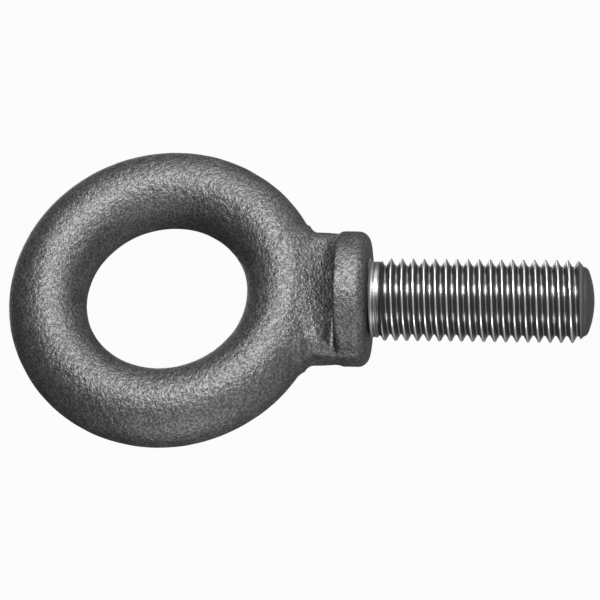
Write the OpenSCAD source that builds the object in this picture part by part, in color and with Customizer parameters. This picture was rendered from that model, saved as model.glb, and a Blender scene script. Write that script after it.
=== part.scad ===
// Forged shoulder eye bolt with a right-hand unified coarse thread.
// The frame's origin is the centre of the shoulder's seat. +Z runs up the bolt's axis to the eye,
// the eye's hole runs along Y, and the shank points down. All lengths are in millimetres.

/* [Eye] */
// Clear diameter of the eye, across the trimmed land of its inner edge
eye_inner_d = 38.0; // [34:0.1:42]
// Diameter of the eye's round section
eye_section_d = 18.3; // [16:0.1:20]
// Height of the eye's centre above the seat
eye_height = 47.7; // [46:0.1:52]
// Depth trimmed off the inside of the round section, which leaves the land
land_depth = 0.05; // [0.02:0.01:0.15]

/* [Shoulder] */
// Diameter of the round shoulder
shoulder_d = 31.6; // [30:0.1:36]
// Height of the shoulder's straight side
shoulder_h = 7.3; // [6.5:0.1:8]
// Radius of the shoulder's edge at the seat
seat_edge_r = 2.6; // [1:0.1:3]
// Radius of the shoulder's upper edge
upper_edge_r = 1.0; // [0.5:0.1:1.5]
// Radius of the hollow between the shoulder and the faces of the neck
hollow_r = 1.5; // [0.8:0.1:1.8]
// Width of the neck, in the plane of the eye
neck_w = 31.6; // [30:0.1:32]
// Thickness of the neck below the eye
neck_t = 13.6; // [12:0.1:15]
// Thickness of the neck at the shoulder
neck_foot_t = 9.0; // [8:0.1:11.5]
// Height over which the neck thins towards the shoulder
neck_taper_h = 5.4; // [4:0.1:6]
// Radius of the neck's four corners
neck_corner_r = 3.0; // [2:0.1:4]

/* [Shank] */
// Length from the seat to the end of the shank
shank_len = 51.7; // [38:0.1:90]
// Major diameter of the thread
thread_d = 19.05; // [19.05, 20]
// Pitch of the thread
thread_pitch = 2.54; // [1.5875, 2.5, 2.54]
// Diameter of the plain neck between the seat and the thread
runout_d = 17.6; // [17.2:0.1:18]
// Length of the plain neck
runout_len = 2.4; // [1:0.1:4]
// Radius of the crown on the shank's end
crown_r = 20.0; // [15:1:30]
// Radius of the rounded edge of the crown
crown_edge_r = 1.6; // [1:0.1:2]
// Height of the shank's solid end below the thread
tip_h = 2.4; // [2.2:0.1:3]
// Depth of the shank's root inside the shoulder
root_depth = 5.0; // [2:0.5:6]

/* [Hidden] */
$fn = 96;

// Eye
eye_section_r = eye_section_d / 2;
land_r = eye_inner_d / 2;
eye_mean_r = land_r - land_depth + eye_section_r;

// Shoulder
shoulder_r = shoulder_d / 2;
neck_top_z = eye_height - eye_mean_r;
neck_low_r = shoulder_r - upper_edge_r;

// Lean of the neck's faces, and the hollow's arc, which touches a face and the shoulder's top
neck_half_t = neck_t / 2;
foot_half_t = neck_foot_t / 2;
lean = atan((neck_half_t - foot_half_t) / neck_taper_h);
hollow_x = foot_half_t + hollow_r * (tan(lean) + 1 / cos(lean));
touch_x = hollow_x - hollow_r * cos(lean);
touch_h = hollow_r * (1 + sin(lean));

// Thread form: a 60 degree profile, with a crest flat of an eighth of the pitch
sharp_h = thread_pitch * cos(30);
thread_depth = sharp_h * 17 / 24;
crest_flat = thread_pitch / 8;
flank_w = thread_depth * tan(30);
root_flat = thread_pitch - crest_flat - 2 * flank_w;
crest_r = thread_d / 2;
root_r = crest_r - thread_depth;
runout_r = runout_d / 2;

// The thread's surface is a net of helical rows, four to a turn, on the sides of a turn's polygon
turn_sides = 36;
rows_per_turn = 4;
row_rise = [0, root_flat, root_flat + flank_w, root_flat + flank_w + crest_flat];
row_r = [root_r, root_r, crest_r, crest_r];

// The net's two ends are buried in the solid end and in the plain neck, to this depth
buried = 0.4;

// Heights along the shank are measured up from the end of the crown
tip_r = root_r + 0.1;
neck_low_z = shank_len - runout_len;
thread_low_z = tip_h - buried / 2;
thread_turns = floor((neck_low_z - thread_low_z) / thread_pitch) - 1;
last_row = thread_turns * rows_per_turn;

// Centre of the rounded edge, which touches the crown and the solid end's side
edge_x = tip_r - crown_edge_r;
edge_z = crown_r - sqrt(pow(crown_r - crown_edge_r, 2) - pow(edge_x, 2));
crown_x = edge_x * crown_r / (crown_r - crown_edge_r);

// Height of one point of the net
function net_z(side, row) =
    thread_low_z
    + thread_pitch * (side / turn_sides + floor(row / rows_per_turn))
    + row_rise[row % rows_per_turn];

// Radius allowed by the 45 degree lead-in that starts at the top of the solid end
function lead_in_r(z) = z < tip_h ? root_r - buried : tip_r + z - tip_h;

// Share of the run-out at a height: 0 on the full thread and 1 where the plain neck starts
function runout_share(z) = min(1, max(0, 1 - (neck_low_z - z) / thread_pitch));

// Radius of the net at one row and height
function net_r(row, z) =
    let (share = runout_share(z))
    min(row_r[row % rows_per_turn] * (1 - share) + (runout_r - buried) * share, lead_in_r(z));

// One point of the net
function net_point(side, row) =
    let (z = net_z(side, row), r = net_r(row, z), a = 360 * side / turn_sides)
    [r * cos(a), r * sin(a), z];

// One point of a level ring that closes the net
function ring_point(side, r, z) =
    [r * cos(360 * side / turn_sides), r * sin(360 * side / turn_sides), z];

// Places of the points in the polyhedron's list
function net_at(side, row) = side * (last_row + 1) + row;
function low_at(side) = turn_sides * (last_row + 1) + side;
function high_at(side) = low_at(side) + turn_sides;

// Faces that fan out from one point over a run of others, anticlockwise as seen from outside
function fan(point, others) =
    [for (i = [0 : len(others) - 2]) [others[i + 1], others[i], point]];

// Faces of a strip between the point runs below and above it
function strip(below, above) =
    [for (i = [0 : len(below) - 2]) each fan(below[i], [below[i + 1], above[i + 1], above[i]])];

module torus(mean_r, section_r) {
    rotate_extrude() translate([mean_r, 0]) circle(section_r);
}

// The eye's round section, swept about the Y axis through the eye's centre
module eye_sweep() {
    translate([0, 0, eye_height]) rotate([90, 0, 0]) torus(eye_mean_r, eye_section_r);
}

module eye_ring() {
    color("dimgray")
    difference() {
        eye_sweep();
        translate([0, 0, eye_height])
        rotate([90, 0, 0])
        cylinder(h = 2 * eye_section_d, r = land_r, center = true);
    }
}

// Half section of the round shoulder: x is the radius and y the height above the seat
module shoulder_section() {
    square([shoulder_r - seat_edge_r, shoulder_h]);
    translate([0, seat_edge_r])
    square([shoulder_r, shoulder_h - seat_edge_r - upper_edge_r]);
    translate([shoulder_r - seat_edge_r, seat_edge_r]) circle(seat_edge_r);
    translate([0, shoulder_h - upper_edge_r]) square([shoulder_r - upper_edge_r, upper_edge_r]);
    translate([shoulder_r - upper_edge_r, shoulder_h - upper_edge_r]) circle(upper_edge_r);
}

// Section across the neck: a rectangle with round corners
module neck_section() {
    corner_x = neck_w / 2 - neck_corner_r;
    corner_y = neck_half_t - neck_corner_r;
    square([neck_w, 2 * corner_y], center = true);
    square([2 * corner_x, neck_t], center = true);
    for (x = [-corner_x, corner_x]) for (y = [-corner_y, corner_y])
        translate([x, y]) circle(neck_corner_r);
}

// Outline of the neck seen from the side: x is its thickness and y the height above the shoulder
module neck_outline() {
    sunk = shoulder_h - seat_edge_r;
    top = neck_top_z - shoulder_h;
    polygon([
        [-foot_half_t, -sunk], [foot_half_t, -sunk], [foot_half_t, 0],
        [neck_half_t, neck_taper_h], [neck_half_t, top],
        [-neck_half_t, top], [-neck_half_t, neck_taper_h], [-foot_half_t, 0]]);
}

// The two hollows at the neck's foot, seen from the same side
module hollow_outline() {
    for (side = [0, 1]) mirror([side, 0])
    difference() {
        polygon([
            [0, -upper_edge_r], [hollow_x, -upper_edge_r], [hollow_x, 0],
            [touch_x, touch_h], [0, touch_h]]);
        translate([hollow_x, hollow_r]) circle(hollow_r);
    }
}

// Runs an outline along the neck's width
module across(width) {
    translate([0, 0, shoulder_h])
    rotate([90, 0, 90])
    linear_extrude(width, center = true) children();
}

// The neck runs up into the eye, and is thinnest where it meets the shoulder
module neck() {
    intersection() {
        across(neck_w) neck_outline();
        linear_extrude(neck_top_z) neck_section();
    }
    intersection() {
        across(2 * neck_low_r) hollow_outline();
        cylinder(h = neck_top_z, r = neck_low_r);
    }
}

module shoulder() {
    color("dimgray")
    difference() {
        union() {
            rotate_extrude() shoulder_section();
            neck();
        }
        eye_sweep();
        cylinder(h = root_depth, r = runout_r);
    }
}

// One closed net: the helical rows meet one turn higher across the seam at side 0
module thread_net() {
    sides = [0 : turn_sides - 1];
    last_side = turn_sides - 1;
    net = [for (side = sides) for (row = [0 : last_row]) net_point(side, row)];
    low_ring = [for (side = sides) ring_point(side, root_r - buried, thread_low_z - buried)];
    high_ring = [for (side = sides) ring_point(side, runout_r - buried, neck_low_z + buried)];
    columns = [for (side = [0 : last_side - 1]) each strip(
        [for (row = [0 : last_row]) net_at(side + 1, row)],
        [for (row = [0 : last_row]) net_at(side, row)])];
    seam = strip(
        [for (row = [rows_per_turn : last_row]) net_at(0, row)],
        [for (row = [0 : last_row - rows_per_turn]) net_at(last_side, row)]);
    low_strip = strip([for (side = sides) low_at(side)], [for (side = sides) net_at(side, 0)]);
    high_strip = strip(
        [for (side = sides) net_at(side, last_row)],
        [for (side = sides) high_at(side)]);
    low_fan = fan(
        net_at(last_side, 0),
        concat([low_at(last_side), low_at(0)], [for (row = [0 : rows_per_turn]) net_at(0, row)]));
    high_fan = fan(
        net_at(0, last_row),
        concat(
            [high_at(0), high_at(last_side)],
            [for (row = [0 : rows_per_turn]) net_at(last_side, last_row - row)]));
    low_cap = [[for (side = sides) low_at(side)]];
    high_cap = [[for (side = sides) high_at(last_side - side)]];
    polyhedron(
        concat(net, low_ring, high_ring),
        concat(columns, seam, low_strip, high_strip, low_fan, high_fan, low_cap, high_cap));
}

// Half section of the shank's solid end: a crown with a rounded edge
module tip_section() {
    translate([0, edge_z]) square([tip_r, tip_h - edge_z]);
    translate([edge_x, edge_z]) circle(crown_edge_r);
    intersection() {
        translate([0, crown_r]) circle(crown_r);
        square([crown_x, tip_h]);
    }
}

module threaded_shank() {
    color("silver")
    translate([0, 0, -shank_len])
    union() {
        rotate_extrude() tip_section();
        thread_net();
        translate([0, 0, neck_low_z]) cylinder(h = runout_len + root_depth, r = runout_r);
    }
}

eye_ring();
shoulder();
threaded_shank();
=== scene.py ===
import math

import bpy
import numpy as np
from mathutils import Matrix, Vector, noise


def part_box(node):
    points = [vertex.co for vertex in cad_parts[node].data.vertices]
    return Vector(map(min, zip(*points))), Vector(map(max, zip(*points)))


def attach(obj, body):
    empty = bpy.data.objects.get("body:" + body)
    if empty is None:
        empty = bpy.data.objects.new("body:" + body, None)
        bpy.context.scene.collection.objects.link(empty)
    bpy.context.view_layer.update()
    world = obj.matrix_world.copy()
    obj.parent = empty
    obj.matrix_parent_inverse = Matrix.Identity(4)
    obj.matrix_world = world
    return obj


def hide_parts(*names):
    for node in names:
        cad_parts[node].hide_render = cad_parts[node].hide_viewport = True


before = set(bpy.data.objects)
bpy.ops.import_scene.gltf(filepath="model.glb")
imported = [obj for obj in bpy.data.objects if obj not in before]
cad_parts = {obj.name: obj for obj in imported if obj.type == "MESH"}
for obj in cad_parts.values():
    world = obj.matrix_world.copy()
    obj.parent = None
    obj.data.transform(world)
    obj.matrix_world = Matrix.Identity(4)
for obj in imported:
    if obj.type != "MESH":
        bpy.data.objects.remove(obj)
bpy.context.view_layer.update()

# Lengths below are in millimetres, and MM turns them into the scene's metres.
MM = 0.001


def node_box(name):
    """Lowest and highest corner of a CAD node, in millimetres."""
    low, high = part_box(name)
    return low / MM, high / MM


ring_low, ring_high = node_box("eye_ring")
shoulder_low, shoulder_high = node_box("shoulder")
shank_low, shank_high = node_box("threaded_shank")

# The forging's sizes, from the CAD boxes
EYE_SECTION_R = (ring_high.y - ring_low.y) / 2
EYE_OUTER_R = (ring_high.x - ring_low.x) / 2
EYE_MEAN_R = EYE_OUTER_R - EYE_SECTION_R
EYE_Z = (ring_high.z + ring_low.z) / 2
SHOULDER_R = shoulder_high.y - 0.05
NECK_HALF_W = shoulder_high.x

# How deep the eye's flash was trimmed, outside and inside
OUTER_TRIM = 0.10
INNER_TRIM = 0.06

# The shank's sizes. The thread is 3/4-10 UNC: its pitch is a tenth of an inch.
THREAD_R = shank_high.x
SHANK_LEN = -shank_low.z
PITCH = 2.54


# ---------------------------------------------------------------- the forging's shape

# The shoulder's upper edge is sharper over the neck's faces than at the neck's sides.
SHOULDER_H = 7.4
SEAT_EDGE_R = 2.6
UPPER_EDGE_R = 0.6
SIDE_EDGE_R = 2.2
SHOULDER_FILLET_R = 0.9

# The neck's faces leave the eye's section where it leans by this angle, and round off from there
# to the shoulder. They follow the eye's curve above one height and run level below another. Its
# sides are trimmed flat, half a land wide on each side of the middle, and flare out at the top.
NECK_LEAN = math.radians(19)
NECK_FACE_R = 30.0
NECK_FACE_DEPTH = 13.0
NECK_INSET = 0.04
NECK_CURVED_Z = 15.5
NECK_LEVEL_Z = 10.0
NECK_HALF_LAND = 2.0
NECK_FOOT_HALF_T = 3.4
NECK_LOW_Z = 2.0
FLARE_R = 2.0
FLARE_Z = 12.6

# The fillet between the neck and the eye: none in the middle, full where the sides begin
NECK_FILLET_R = 1.6
SMALLEST_FILLET_R = 0.02
FILLET_START_X = 7.0
FILLET_FULL_X = 13.0


def smooth_step(value, start, end):
    """0 at the start and 1 at the end, with a smooth rise between."""
    share = np.clip((value - start) / (end - start), 0, 1)
    return share * share * (3 - 2 * share)


def ring_distance(x, y, z):
    """Distance to the eye's round section, trimmed flat where the flash was cut off."""
    from_axis = np.hypot(x, z - EYE_Z)
    tube = np.hypot(from_axis - EYE_MEAN_R, y) - EYE_SECTION_R
    outer_land = from_axis - (EYE_OUTER_R - OUTER_TRIM)
    inner_land = (EYE_OUTER_R - 2 * EYE_SECTION_R + INNER_TRIM) - from_axis
    return np.maximum(tube, np.maximum(outer_land, inner_land))


def neck_distance(x, y, z):
    """Distance to the neck: it thins from the eye to the shoulder, and flares under the eye."""
    top = EYE_Z - EYE_MEAN_R
    level = smooth_step(z, NECK_CURVED_Z, NECK_LEVEL_Z)
    below = (1 - level) * (np.hypot(x, z - EYE_Z) - EYE_MEAN_R) + level * (top - z)
    leave = EYE_SECTION_R * math.sin(NECK_LEAN)
    on_tube = np.sqrt(EYE_SECTION_R**2 - np.clip(below, 0, leave) ** 2)
    face_low = (EYE_SECTION_R - NECK_FACE_R) * math.sin(NECK_LEAN)
    face_in = (EYE_SECTION_R - NECK_FACE_R) * math.cos(NECK_LEAN)
    past = np.clip(below, leave, NECK_FACE_DEPTH) - face_low
    on_face = face_in + np.sqrt(NECK_FACE_R**2 - past**2)
    half_t = np.where(below < leave, on_tube, on_face) - NECK_INSET
    half_t = np.maximum(half_t, NECK_FOOT_HALF_T)
    up_flare = np.clip(z - FLARE_Z, 0, 0.95 * FLARE_R)
    half_w = NECK_HALF_W + FLARE_R - np.sqrt(FLARE_R**2 - up_flare**2)
    corner_r = half_t - NECK_HALF_LAND
    out_x = np.abs(x) - (half_w - corner_r)
    out_y = np.abs(y) - NECK_HALF_LAND
    corner = np.hypot(np.maximum(out_x, 0), np.maximum(out_y, 0))
    section = corner + np.minimum(np.maximum(out_x, out_y), 0) - corner_r
    return np.maximum(section, np.maximum(z - top, NECK_LOW_Z - z))


def shoulder_distance(x, y, z):
    """Distance to the round shoulder, whose upper edge rounds off towards the neck's sides."""
    middle = SHOULDER_H / 2
    radius = np.hypot(x, y)
    sideways = (x / np.maximum(radius, 1)) ** 4
    upper_r = UPPER_EDGE_R + (SIDE_EDGE_R - UPPER_EDGE_R) * sideways
    edge_r = np.where(z < middle, SEAT_EDGE_R, upper_r)
    out = radius - (SHOULDER_R - edge_r)
    up = np.abs(z - middle) - (middle - edge_r)
    corner = np.hypot(np.maximum(out, 0), np.maximum(up, 0))
    return corner + np.minimum(np.maximum(out, up), 0) - edge_r


def filleted_union(a, b, radius):
    """Union of two distances, with a fillet where their surfaces cross."""
    gap_a = np.maximum(radius - a, 0)
    gap_b = np.maximum(radius - b, 0)
    return np.maximum(radius, np.minimum(a, b)) - np.hypot(gap_a, gap_b)


def forging_distance(x, y, z):
    """Distance to the whole forging: eye, neck and shoulder, blended as the dies leave them."""
    side = smooth_step(np.abs(x), FILLET_START_X, FILLET_FULL_X)
    fillet_r = SMALLEST_FILLET_R + NECK_FILLET_R * side
    eye_and_neck = filleted_union(ring_distance(x, y, z), neck_distance(x, y, z), fillet_r)
    return filleted_union(eye_and_neck, shoulder_distance(x, y, z), SHOULDER_FILLET_R)


# ---------------------------------------------------------------- surfaces from a distance


def surface_net(distance, low, high, step):
    """Quads along the zero level of a distance function, one point to each cell it crosses."""
    axes = [np.arange(low[i] - step, high[i] + 2 * step, step) for i in range(3)]
    field = distance(*np.meshgrid(*axes, indexing="ij"))
    inside = field < 0
    cells = tuple(n - 1 for n in field.shape)

    def corner(values, offset):
        return values[tuple(slice(offset[i], offset[i] + cells[i]) for i in range(3))]

    corners = [(i, j, k) for i in (0, 1) for j in (0, 1) for k in (0, 1)]
    filled = sum(corner(inside, c).astype(np.int8) for c in corners)
    crossed = (filled > 0) & (filled < 8)
    number = np.full(cells, -1, np.int64)
    number[crossed] = np.arange(crossed.sum())

    total = np.zeros((crossed.sum(), 3))
    count = np.zeros(crossed.sum())
    for axis in range(3):
        for start in (c for c in corners if c[axis] == 0):
            end = tuple(c + (i == axis) for i, c in enumerate(start))
            f0 = corner(field, start)[crossed]
            f1 = corner(field, end)[crossed]
            hit = (f0 < 0) != (f1 < 0)
            share = f0[hit] / (f0[hit] - f1[hit])
            point = np.tile(np.array(start, float), (hit.sum(), 1))
            point[:, axis] += share
            total[hit] += point
            count[hit] += 1
    base = np.argwhere(crossed)
    origin = np.array([a[0] for a in axes])
    points = origin + (base + total / count[:, None]) * step

    quads = []
    for axis in range(3):
        u, v = (axis + 1) % 3, (axis + 2) % 3
        near = [slice(1, -1)] * 3
        far = [slice(1, -1)] * 3
        near[axis], far[axis] = slice(0, -1), slice(1, None)
        starts = inside[tuple(near)]
        ends = inside[tuple(far)]
        for leaving in (True, False):
            edges = np.argwhere((starts != ends) & (starts == leaving))
            offset = np.ones(3, int)
            offset[axis] = 0
            cell = edges + offset
            ring = []
            for du, dv in ((-1, -1), (0, -1), (0, 0), (-1, 0)):
                c = cell.copy()
                c[:, u] += du
                c[:, v] += dv
                ring.append(number[c[:, 0], c[:, 1], c[:, 2]])
            quads.append(np.stack(ring if leaving else ring[::-1], axis=1))
    return points, np.concatenate(quads)


def slope(distance, p):
    """Direction of steepest rise of a distance function at each point."""
    small = 0.02
    columns = []
    for axis in range(3):
        step = np.zeros(3)
        step[axis] = small
        ahead = distance(*(p + step).T)
        behind = distance(*(p - step).T)
        columns.append((ahead - behind) / (2 * small))
    grad = np.stack(columns, axis=1)
    return grad / np.maximum(np.linalg.norm(grad, axis=1), 1e-9)[:, None]


def settle(distance, p, rounds=3):
    """Moves each point onto the zero level."""
    for _ in range(rounds):
        p = p - slope(distance, p) * distance(*p.T)[:, None]
    return p


# The hollows that forging and scale leave: size and depth of each kind, and where its noise starts
MEAN_WEAR = 0.05
WEAR = [(11.0, 0.06, (0, 0, 0)), (3.6, 0.04, (7, 0, 0)), (1.5, 0.02, (0, 9, 0))]

# Height above the seat over which the wear sets in, so that the seat stays flat
WEAR_RISE = 1.2


def forge_wear(p):
    """Depth of the wear at each point."""
    depth = np.full(len(p), MEAN_WEAR)
    for size, deep, start in WEAR:
        depth += [deep * noise.noise(Vector(q) / size + Vector(start)) for q in p]
    return np.maximum(depth, 0) * np.clip(p[:, 2] / WEAR_RISE, 0, 1)


def mesh_object(name, points, faces):
    """A smooth-shaded mesh object from points in millimetres."""
    mesh = bpy.data.meshes.new(name)
    mesh.from_pydata((points * MM).tolist(), [], [list(map(int, f)) for f in faces])
    mesh.validate()
    mesh.polygons.foreach_set("use_smooth", [True] * len(mesh.polygons))
    mesh.update()
    made = bpy.data.objects.new(name, mesh)
    bpy.context.scene.collection.objects.link(made)
    return made


def make_forging():
    """The eye, neck and shoulder as one continuous forged skin."""
    reach = EYE_OUTER_R
    low = (-reach, -SHOULDER_R, 0)
    high = (reach, SHOULDER_R, EYE_Z + reach)
    step = 0.5
    points, quads = surface_net(forging_distance, low, high, step)
    points = settle(forging_distance, points)
    outward = slope(forging_distance, points)
    points = points - outward * forge_wear(points)[:, None]
    return mesh_object("forged_eye_and_shoulder", points, quads)


# ---------------------------------------------------------------- the shank's shape

TURN_SIDES = 144
NECK_R = 8.8
NECK_LEN = 2.6
CROWN_R = 20.0
CROWN_EDGE_R = 1.6
TIP_R = 8.05
LEAD_IN_H = 2.4
FOOT_R = 1.05

# The lowest crest's height above the end of the crown, at the side where the net starts
FIRST_CREST_Z = 3.84

# Rounding of the thread's roots and of the edges of its crests
ROOT_ROUND = 0.18
CREST_ROUND = 0.05

# Room for the blank outside the thread
CLEAR = 0.4

# Two turned marks on the plain neck, as points (depth below the seat, depth into the neck)
NECK_MARKS = [(2.5, 0.10), (2.35, 0.10), (2.2, 0), (1.5, 0), (1.35, 0.12), (1.2, 0.12)]


def thread_profile():
    """One pitch of the thread as (share of the pitch, depth below the crest) pairs."""
    height = PITCH * math.cos(math.radians(30))
    depth = height * 17 / 24
    crest = PITCH / 16
    foot = crest + (depth - ROOT_ROUND) * math.tan(math.radians(30))
    rise = [
        (crest - CREST_ROUND, 0.0),
        (crest, 0.4 * CREST_ROUND),
        (crest + CREST_ROUND, 1.4 * CREST_ROUND),
        ((crest + foot) / 2, 0.47 * depth),
        (foot, depth - ROOT_ROUND),
        (foot + 0.10, depth - 0.07),
        (foot + 0.20, depth - 0.01),
    ]
    down = [(PITCH / 2, depth)]
    back = [(PITCH - s, d) for s, d in reversed(rise)]
    return [(0.0, 0.0)] + rise + down + back


def thread_net():
    """The thread as a net of helical rows, closed at both ends beyond the part that is kept."""
    profile = thread_profile()
    per_turn = len(profile)
    low_z = -SHANK_LEN + FIRST_CREST_Z - 2 * PITCH
    turns = int((SHANK_LEN - FIRST_CREST_Z) / PITCH) + 2
    rows = turns * per_turn
    points = []
    for side in range(TURN_SIDES):
        angle = 2 * math.pi * side / TURN_SIDES
        for row in range(rows + 1):
            along, depth = profile[row % per_turn]
            z = low_z + PITCH * (side / TURN_SIDES + row // per_turn) + along
            fade = min(1, max(0, (z + NECK_LEN + CLEAR) / PITCH))
            r = THREAD_R - depth * (1 - fade)
            points.append((r * math.cos(angle), r * math.sin(angle), z))
    stride = rows + 1
    faces = []
    for side in range(TURN_SIDES - 1):
        a, b = side * stride, (side + 1) * stride
        faces += [(a + r, b + r, b + r + 1, a + r + 1) for r in range(rows)]
    last = (TURN_SIDES - 1) * stride
    for r in range(rows - per_turn):
        faces.append((last + r, r + per_turn, r + per_turn + 1, last + r + 1))
    low_centre, high_centre = len(points), len(points) + 1
    points += [(0, 0, low_z - PITCH), (0, 0, low_z + PITCH * (turns + 2))]
    first_column = range(per_turn, -1, -1)
    low_edge = [s * stride for s in range(TURN_SIDES)] + list(first_column)
    faces += [(b, a, low_centre) for a, b in zip(low_edge, low_edge[1:])]
    last_column = [last + rows - r for r in range(per_turn + 1)]
    high_edge = [s * stride + rows for s in range(TURN_SIDES)] + last_column[1:] + [rows]
    faces += [(a, b, high_centre) for a, b in zip(high_edge, high_edge[1:])]
    return np.array(points), faces


def arc(centre, radius, start, end, steps):
    """Points along an arc; the angles are from straight down, turning outwards."""
    points = []
    for i in range(steps + 1):
        angle = start + (end - start) * i / steps
        points.append((centre[0] + radius * math.sin(angle), centre[1] - radius * math.cos(angle)))
    return points


def shank_outline():
    """Half outline of the shank's blank, from the crown up to the root, as (radius, height)."""
    edge_x = TIP_R - CROWN_EDGE_R
    edge_z = CROWN_R - math.sqrt((CROWN_R - CROWN_EDGE_R) ** 2 - edge_x**2)
    touch = math.atan2(edge_x, CROWN_R - edge_z)
    clear_r = THREAD_R + CLEAR
    tip = arc((0, CROWN_R), CROWN_R, 0, touch, 8)
    tip += arc((edge_x, edge_z), CROWN_EDGE_R, touch, math.pi / 2, 6)[1:]
    tip += [(TIP_R, LEAD_IN_H), (clear_r, LEAD_IN_H + clear_r - TIP_R)]
    neck = [(clear_r, -NECK_LEN - clear_r + NECK_R), (NECK_R, -NECK_LEN)]
    neck += [(NECK_R - deep, -down) for down, deep in NECK_MARKS]
    foot = arc((NECK_R + FOOT_R, -FOOT_R), FOOT_R, -math.pi / 2, -math.pi, 6)
    root = [(NECK_R + FOOT_R, 0.5), (NECK_R - 1, 1.0)]
    return [(r, z - SHANK_LEN) for r, z in tip] + neck + foot + root


def revolve(outline, sides):
    """Closed solid of revolution about Z; the outline starts on the axis."""
    points = [(0, 0, outline[0][1])]
    rings = outline[1:]
    for r, z in rings:
        for side in range(sides):
            a = 2 * math.pi * side / sides
            points.append((r * math.cos(a), r * math.sin(a), z))

    def at(ring, side):
        return 1 + ring * sides + side % sides

    faces = [(0, at(0, s + 1), at(0, s)) for s in range(sides)]
    for ring in range(len(rings) - 1):
        for s in range(sides):
            faces.append((at(ring, s), at(ring, s + 1), at(ring + 1, s + 1), at(ring + 1, s)))
    points.append((0, 0, outline[-1][1]))
    top = len(points) - 1
    last = len(rings) - 1
    faces += [(at(last, s), at(last, s + 1), top) for s in range(sides)]
    return np.array(points), faces


def apply_modifiers(piece):
    """Turns the modified mesh into the piece's own mesh."""
    graph = bpy.context.evaluated_depsgraph_get()
    done = bpy.data.meshes.new_from_object(piece.evaluated_get(graph))
    piece.modifiers.clear()
    piece.data = done


def make_shank():
    """The threaded shank: the thread's net, cut to the turned blank."""
    shank = mesh_object("threaded_shank_skin", *thread_net())
    blank = mesh_object("shank_blank", *revolve(shank_outline(), TURN_SIDES))
    cut = shank.modifiers.new("cut_to_blank", "BOOLEAN")
    cut.operation = "INTERSECT"
    cut.solver = "EXACT"
    cut.object = blank
    apply_modifiers(shank)
    bpy.data.objects.remove(blank)
    shank.data.polygons.foreach_set("use_smooth", [True] * len(shank.data.polygons))
    shank.data.set_sharp_from_angle(angle=math.radians(28))
    return shank


# ---------------------------------------------------------------- materials


class Nodes:
    """Short calls for building a material's nodes."""

    def __init__(self, name):
        self.material = bpy.data.materials.new(name)
        self.material.use_nodes = True
        self.tree = self.material.node_tree
        self.shader = self.tree.nodes["Principled BSDF"]

    def add(self, kind, inputs=(), **settings):
        node = self.tree.nodes.new(kind)
        for key, value in settings.items():
            setattr(node, key, value)
        for key, value in dict(inputs).items():
            self.put(node.inputs[key], value)
        return node

    def put(self, socket, value):
        if isinstance(value, bpy.types.NodeSocket):
            self.tree.links.new(value, socket)
        else:
            socket.default_value = value

    def place(self):
        return self.add("ShaderNodeTexCoord").outputs["Object"]

    def noise(self, place, size_mm, detail=3.0, roughness=0.55):
        return self.add("ShaderNodeTexNoise", {
            "Vector": place, "Scale": 1 / (size_mm * MM), "Detail": detail,
            "Roughness": roughness}).outputs["Fac"]

    def ramp(self, factor, stops):
        node = self.add("ShaderNodeValToRGB", {"Fac": factor})
        ramp = node.color_ramp
        while len(ramp.elements) < len(stops):
            ramp.elements.new(0.5)
        for element, (position, colour) in zip(ramp.elements, stops):
            element.position = position
            element.color = (*colour, 1)
        return node.outputs["Color"]

    def grey(self, factor, stops):
        return self.ramp(factor, [(position, (v, v, v)) for position, v in stops])

    def maths(self, operation, a, b=0.0):
        return self.add("ShaderNodeMath", {0: a, 1: b}, operation=operation).outputs[0]

    def mix(self, factor, a, b):
        node = self.add("ShaderNodeMix", data_type="RGBA")
        self.put(node.inputs["Factor"], factor)
        self.put(node.inputs["A"], a)
        self.put(node.inputs["B"], b)
        return node.outputs["Result"]


def forged_steel():
    """Dark, blasted and oiled forged steel: dull sheen, bright grain and a few scale pits."""
    m = Nodes("forged_steel")
    place = m.place()
    grain = m.noise(place, 0.55, 2.0, 0.6)
    mottle = m.noise(place, 4.0, 4.0, 0.6)
    pits = m.noise(place, 1.3, 2.0, 0.5)
    tone = m.mix(m.grey(grain, [(0.40, 0.0), (0.62, 1.0)]),
                 (0.062, 0.064, 0.062, 1), (0.152, 0.148, 0.157, 1))
    stain = m.grey(mottle, [(0.35, 0.62), (0.65, 1.0)])
    m.put(m.shader.inputs["Base Color"], m.mix(stain, (0.060, 0.063, 0.060, 1), tone))
    m.put(m.shader.inputs["Roughness"], m.grey(mottle, [(0.3, 0.46), (0.7, 0.58)]))
    m.shader.inputs["Metallic"].default_value = 1.0
    m.shader.inputs["Specular Tint"].default_value = (0.35, 0.35, 0.36, 1)
    height = m.maths("ADD", m.maths("MULTIPLY", grain, 0.6), m.maths("MULTIPLY", pits, 0.8))
    bump = m.add("ShaderNodeBump", {"Height": height, "Strength": 0.95, "Distance": 0.38 * MM})
    m.put(m.shader.inputs["Normal"], bump.outputs["Normal"])
    return m.material


# The cut steel's tones, with painted highlights on the crests and roots, are placed by the
# distance from the axis: where they start, and their span
TONE_LOW_R = 7.9
TONE_SPAN = 1.6

# The crowned end is dull up to this height, and the dullness fades out over this much more
DULL_END_H = 2.6
DULL_FADE = 0.6


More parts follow.
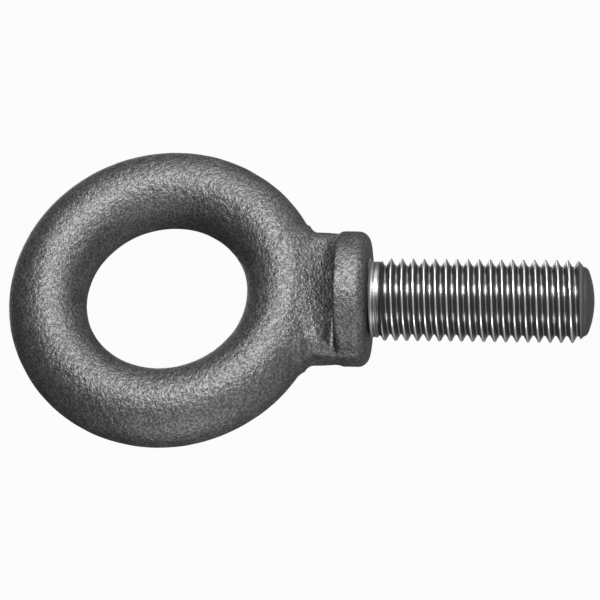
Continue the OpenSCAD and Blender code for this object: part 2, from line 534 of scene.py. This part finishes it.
def machined_steel():
    """Cut thread: dark flanks, painted highlights as bright crests and brighter roots, fine marks
    round the axis.
    """
    m = Nodes("machined_steel")
    place = m.place()
    axis = m.add("ShaderNodeSeparateXYZ", {"Vector": place}).outputs
    flat = m.add("ShaderNodeCombineXYZ", {"X": axis["X"], "Y": axis["Y"]}).outputs[0]
    radius = m.add("ShaderNodeVectorMath", {0: flat}, operation="LENGTH").outputs["Value"]
    up = m.maths("DIVIDE", m.maths("SUBTRACT", radius, TONE_LOW_R * MM), TONE_SPAN * MM)
    end_z = (DULL_END_H - SHANK_LEN) * MM
    end = m.maths("DIVIDE", m.maths("SUBTRACT", axis["Z"], end_z), DULL_FADE * MM)
    along = m.add("ShaderNodeCombineXYZ", {
        "X": m.maths("MULTIPLY", axis["X"], 0.06), "Y": m.maths("MULTIPLY", axis["Y"], 0.06),
        "Z": axis["Z"]}).outputs[0]
    marks = m.noise(along, 0.12, 2.0, 0.6)
    smudge = m.noise(place, 2.5, 3.0, 0.6)
    # Painted highlights: the crest colour and the root colour are lighter than the dark flank
    # colour, standing in for the light they catch
    dark, root, neck, crest = (0.13, 0.135, 0.13), (0.23,) * 3, (0.24,) * 3, (0.52,) * 3
    tone = m.ramp(up, [(0.0, root), (0.12, root), (0.22, dark), (0.50, dark), (0.56, neck),
                       (0.66, dark), (0.88, dark), (0.97, crest)])
    tone = m.mix(m.grey(smudge, [(0.3, 0.7), (0.6, 1.0)]), (0.10, 0.10, 0.095, 1), tone)
    shade = m.grey(end, [(0.0, 0.0), (1.0, 1.0)])
    m.put(m.shader.inputs["Base Color"], m.mix(shade, (0.070, 0.075, 0.070, 1), tone))
    polish = m.grey(up, [(0.12, 0.26), (0.22, 0.42), (0.88, 0.42), (0.97, 0.28)])
    m.put(m.shader.inputs["Roughness"], m.mix(shade, (0.5, 0.5, 0.5, 1), polish))
    m.shader.inputs["Metallic"].default_value = 1.0
    m.shader.inputs["Specular Tint"].default_value = (0.5, 0.5, 0.5, 1)
    bump = m.add("ShaderNodeBump", {"Height": marks, "Strength": 0.35, "Distance": 0.02 * MM})
    m.put(m.shader.inputs["Normal"], bump.outputs["Normal"])
    return m.material


# ---------------------------------------------------------------- pieces

forging = make_forging()
forging.data.materials.append(forged_steel())
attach(forging, "root")
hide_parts("eye_ring", "shoulder")

shank = make_shank()
shank.data.materials.clear()
shank.data.materials.append(machined_steel())
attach(shank, "root")
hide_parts("threaded_shank")


# ---------------------------------------------------------------- camera, light and floor

# The bolt lies across the picture with its shank to the right. The eye leans back, and the
# shank's end is a little nearer than the eye.
LEAN = math.radians(25.35)
YAW = math.radians(6.50)
ROLL = math.radians(0.64)
DISTANCE = 561.6
LENS = 144.0

# The point that the camera aims at, from the centre of the eye
AIM_RIGHT = 31.2
AIM_DOWN = 0.67

back = Vector((-math.sin(LEAN) * math.cos(YAW), -math.cos(LEAN) * math.cos(YAW), -math.sin(YAW)))
right = Vector((0, 0, -1)) - back * -back.z
right.normalize()
up = back.cross(right)
right, up = (right * math.cos(ROLL) + up * math.sin(ROLL),
             up * math.cos(ROLL) - right * math.sin(ROLL))

eye_centre = Vector((0, 0, EYE_Z * MM))
aim = eye_centre + (right * AIM_RIGHT - up * AIM_DOWN) * MM
camera_data = bpy.data.cameras.new("camera")
camera_data.sensor_width = 36
camera_data.lens = LENS
camera = bpy.data.objects.new("camera", camera_data)
camera.matrix_world = Matrix.Translation(aim + back * DISTANCE * MM) @ Matrix(
    (right, up, back)).transposed().to_4x4()
bpy.context.scene.collection.objects.link(camera)
bpy.context.scene.camera = camera


# The lamps face this point. All but the key are there to fill: from above, below and behind.
lit_point = Vector((0, 0, 0.018))


def soft_light(name, towards, distance, width, height, power):
    """A soft box that faces the bolt; towards is (right, up, back) as the camera sees it."""
    data = bpy.data.lights.new(name, "AREA")
    data.shape = "RECTANGLE"
    data.size, data.size_y = width, height
    data.energy = power
    lamp = bpy.data.objects.new(name, data)
    direction = (right * towards[0] + up * towards[1] + back * towards[2]).normalized()
    side = right - direction * right.dot(direction)
    side.normalize()
    lamp.matrix_world = Matrix.Translation(lit_point + direction * distance) @ Matrix(
        (side, direction.cross(side), direction)).transposed().to_4x4()
    bpy.context.scene.collection.objects.link(lamp)


soft_light("key", (-0.05, 0.62, 0.80), 0.45, 0.08, 0.20, 3.6)
soft_light("sky", (0.0, 1.0, 0.15), 0.60, 0.30, 0.35, 1.0)
soft_light("low", (0.0, -0.85, 0.5), 0.60, 0.20, 0.25, 1.7)
soft_light("rear", (-0.4, 0.3, -1.0), 0.70, 0.50, 0.50, 4.0)

# The room is plain white to the camera, and lights the bolt more weakly than it looks.
world = bpy.data.worlds.new("studio")
bpy.context.scene.world = world
world.use_nodes = True
tree = world.node_tree
room_light = tree.nodes["Background"]
backdrop = tree.nodes.new("ShaderNodeBackground")
for background, strength in ((room_light, 0.34), (backdrop, 0.97)):
    background.inputs["Color"].default_value = (1, 1, 1, 1)
    background.inputs["Strength"].default_value = strength
seen = tree.nodes.new("ShaderNodeLightPath")
choose = tree.nodes.new("ShaderNodeMixShader")
tree.links.new(seen.outputs["Is Camera Ray"], choose.inputs[0])
tree.links.new(room_light.outputs[0], choose.inputs[1])
tree.links.new(backdrop.outputs[0], choose.inputs[2])
tree.links.new(choose.outputs[0], tree.nodes["World Output"].inputs["Surface"])
bpy.context.scene.view_settings.view_transform = "Standard"

# The floor is a pale paper sweep: it glows evenly, so the lamps leave no pools of light on it.
bpy.ops.mesh.primitive_circle_add(vertices=96, radius=3.0, fill_type="NGON",
                                  location=(0, 0, -0.13))
floor = bpy.context.object
floor.name = "floor"
paper_look = Nodes("paper")
for socket, value in {
    "Base Color": (0.02, 0.02, 0.02, 1),
    "Roughness": 1.0,
    "Specular IOR Level": 0.0,
    "Emission Color": (1, 1, 1, 1),
    "Emission Strength": 0.90,
}.items():
    paper_look.shader.inputs[socket].default_value = value
floor.data.materials.append(paper_look.material)
